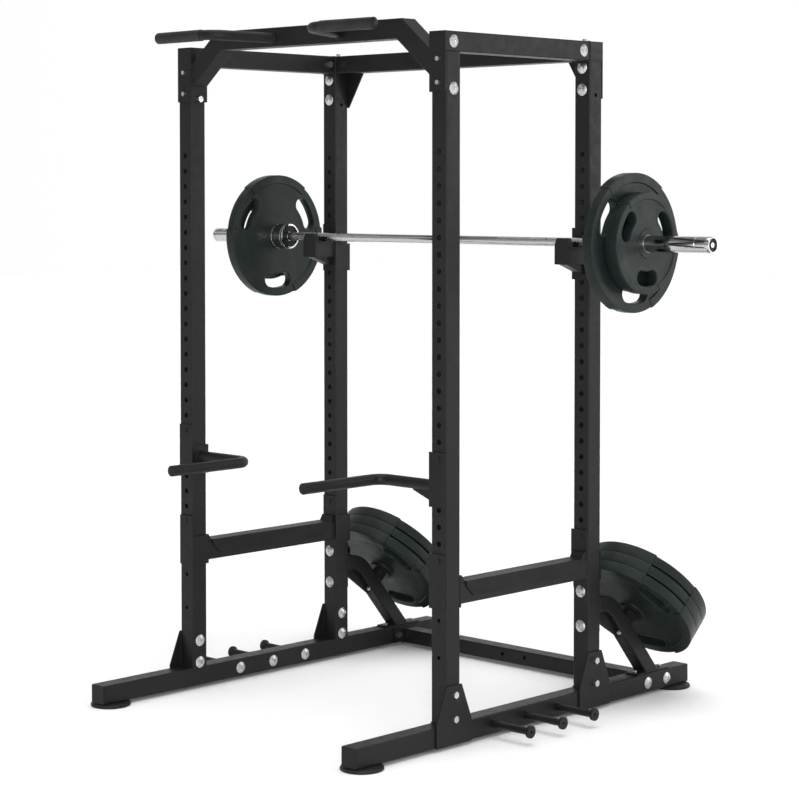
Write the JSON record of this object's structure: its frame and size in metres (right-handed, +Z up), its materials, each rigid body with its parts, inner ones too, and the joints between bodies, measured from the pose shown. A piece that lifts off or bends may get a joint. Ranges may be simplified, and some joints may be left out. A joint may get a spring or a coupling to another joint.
{
  "type": "power cage",
  "caption": "Free-standing square-tube power cage with a raised pull-up bar, loaded barbell on hooks, flip-off dip handles and safety bars, and rear plate storage.",
  "frame": {"origin": "on the floor, under the middle of the two base rails", "axes": "+X to the right across the cage along the barbell, +Y to the back where the plates are stored, +Z up; the left side is -X"},
  "size_m": [2.2, 1.5796, 2.152],
  "materials": {
    "black_frame": "satin powder coat",
    "rubber_grip": "matt moulded rubber",
    "liner_plastic": "smooth UHMW plastic",
    "cap_plastic": "moulded plastic",
    "rubber_foot": "matt rubber",
    "plate_rubber": "cast iron under a satin rubber skin",
    "zinc": "zinc plated",
    "bar_chrome": "hard chrome"
  },
  "bodies": {
    "frame": {"upright_front_left": "black_frame", "upright_rear_left": "black_frame", "base_rail_left": "black_frame", "top_side_beam_left": "black_frame", "rear_top_gusset_left": "black_frame", "pull_up_bracket_left": "black_frame", "pull_up_handle_left": "black_frame", "pull_up_grip_left": "rubber_grip", "storage_strut_left": "black_frame", "storage_horn_left": "black_frame", "upright_front_right": "black_frame", "upright_rear_right": "black_frame", "base_rail_right": "black_frame", "top_side_beam_right": "black_frame", "rear_top_gusset_right": "black_frame", "pull_up_bracket_right": "black_frame", "pull_up_handle_right": "black_frame", "pull_up_grip_right": "rubber_grip", "storage_strut_right": "black_frame", "storage_horn_right": "black_frame", "square_end_caps": "cap_plastic", "floor_feet": "rubber_foot", "rear_crossmember": "black_frame", "base_gussets": "black_frame", "top_rear_beam": "black_frame", "pull_up_crossbar": "black_frame", "dome_bolts": "zinc", "hex_nuts": "zinc", "small_screws": "zinc", "tube_end_caps": "cap_plastic", "band_pegs": "black_frame"},
    "bar_hooks": {"bar_hook_left": "black_frame", "bar_hook_right": "black_frame", "bar_hook_liner_left": "liner_plastic", "bar_hook_liner_right": "liner_plastic"},
    "barbell": {"barbell_shaft": "bar_chrome", "barbell_journals": "bar_chrome"},
    "sleeve_left": {"barbell_sleeve_left": "bar_chrome"},
    "large_bar_plate_left": {"bar_plate_large_left": "plate_rubber"},
    "small_bar_plate_left": {"bar_plate_small_left": "plate_rubber"},
    "sleeve_right": {"barbell_sleeve_right": "bar_chrome"},
    "large_bar_plate_right": {"bar_plate_large_right": "plate_rubber"},
    "small_bar_plate_right": {"bar_plate_small_right": "plate_rubber"},
    "dip_handle_left": {"dip_handle_left": "black_frame", "dip_handle_cap_left": "cap_plastic"},
    "dip_handle_right": {"dip_handle_right": "black_frame", "dip_handle_cap_right": "cap_plastic"},
    "safety_bar_left": {"safety_bar_left": "black_frame", "safety_liner_left": "liner_plastic"},
    "safety_bar_right": {"safety_bar_right": "black_frame", "safety_liner_right": "liner_plastic"},
    "inner_stored_plate_left": {"stored_plate_inner_left": "plate_rubber"},
    "middle_stored_plate_left": {"stored_plate_middle_left": "plate_rubber"},
    "outer_stored_plate_left": {"stored_plate_outer_left": "plate_rubber"},
    "inner_stored_plate_right": {"stored_plate_inner_right": "plate_rubber"},
    "middle_stored_plate_right": {"stored_plate_middle_right": "plate_rubber"},
    "outer_stored_plate_right": {"stored_plate_outer_right": "plate_rubber"}
  },
  "joints": [
    {"name": "bar_hooks_height", "type": "slide", "parent": "frame", "child": "bar_hooks", "axis": [0, 0, 1], "range_m": [-0.45, 0.15]},
    {"name": "barbell_lift", "type": "slide", "parent": "bar_hooks", "child": "barbell", "axis": [0, 0, 1], "range_m": [0, 0.35]},
    {"name": "sleeve_spin_left", "type": "hinge", "parent": "barbell", "child": "sleeve_left", "pos_m": [-0.9, 0.208, 1.481], "axis": [1, 0, 0], "continuous": true},
    {"name": "large_plate_slide_left", "type": "slide", "parent": "sleeve_left", "child": "large_bar_plate_left", "axis": [-1, 0, 0], "range_m": [0, 0.34]},
    {"name": "small_plate_slide_left", "type": "slide", "parent": "large_bar_plate_left", "child": "small_bar_plate_left", "axis": [-1, 0, 0], "range_m": [0, 0.3]},
    {"name": "sleeve_spin_right", "type": "hinge", "parent": "barbell", "child": "sleeve_right", "pos_m": [0.9, 0.208, 1.481], "axis": [1, 0, 0], "continuous": true},
    {"name": "large_plate_slide_right", "type": "slide", "parent": "sleeve_right", "child": "large_bar_plate_right", "axis": [1, 0, 0], "range_m": [0, 0.34]},
    {"name": "small_plate_slide_right", "type": "slide", "parent": "large_bar_plate_right", "child": "small_bar_plate_right", "axis": [1, 0, 0], "range_m": [0, 0.3]},
    {"name": "dip_flip_left", "type": "hinge", "parent": "frame", "child": "dip_handle_left", "pos_m": [-0.565, -0.41, 0.855], "axis": [0, -1, 0], "range_deg": [0, 90]},
    {"name": "dip_flip_right", "type": "hinge", "parent": "frame", "child": "dip_handle_right", "pos_m": [0.565, -0.41, 0.855], "axis": [0, 1, 0], "range_deg": [0, 90]},
    {"name": "safety_flip_left", "type": "hinge", "parent": "frame", "child": "safety_bar_left", "pos_m": [-0.565, -0.0465, 0.555], "axis": [0, -1, 0], "range_deg": [0, 90]},
    {"name": "safety_flip_right", "type": "hinge", "parent": "frame", "child": "safety_bar_right", "pos_m": [0.565, -0.0465, 0.555], "axis": [0, 1, 0], "range_deg": [0, 90]},
    {"name": "inner_stored_slide_left", "type": "slide", "parent": "frame", "child": "inner_stored_plate_left", "axis": [0, 0.7314, 0.682], "range_m": [0, 0.2]},
    {"name": "middle_stored_slide_left", "type": "slide", "parent": "inner_stored_plate_left", "child": "middle_stored_plate_left", "axis": [0, 0.7314, 0.682], "range_m": [0, 0.15]},
    {"name": "outer_stored_slide_left", "type": "slide", "parent": "middle_stored_plate_left", "child": "outer_stored_plate_left", "axis": [0, 0.7314, 0.682], "range_m": [0, 0.1]},
    {"name": "inner_stored_slide_right", "type": "slide", "parent": "frame", "child": "inner_stored_plate_right", "axis": [0, 0.7314, 0.682], "range_m": [0, 0.2]},
    {"name": "middle_stored_slide_right", "type": "slide", "parent": "inner_stored_plate_right", "child": "middle_stored_plate_right", "axis": [0, 0.7314, 0.682], "range_m": [0, 0.15]},
    {"name": "outer_stored_slide_right", "type": "slide", "parent": "middle_stored_plate_right", "child": "outer_stored_plate_right", "axis": [0, 0.7314, 0.682], "range_m": [0, 0.1]}
  ]
}
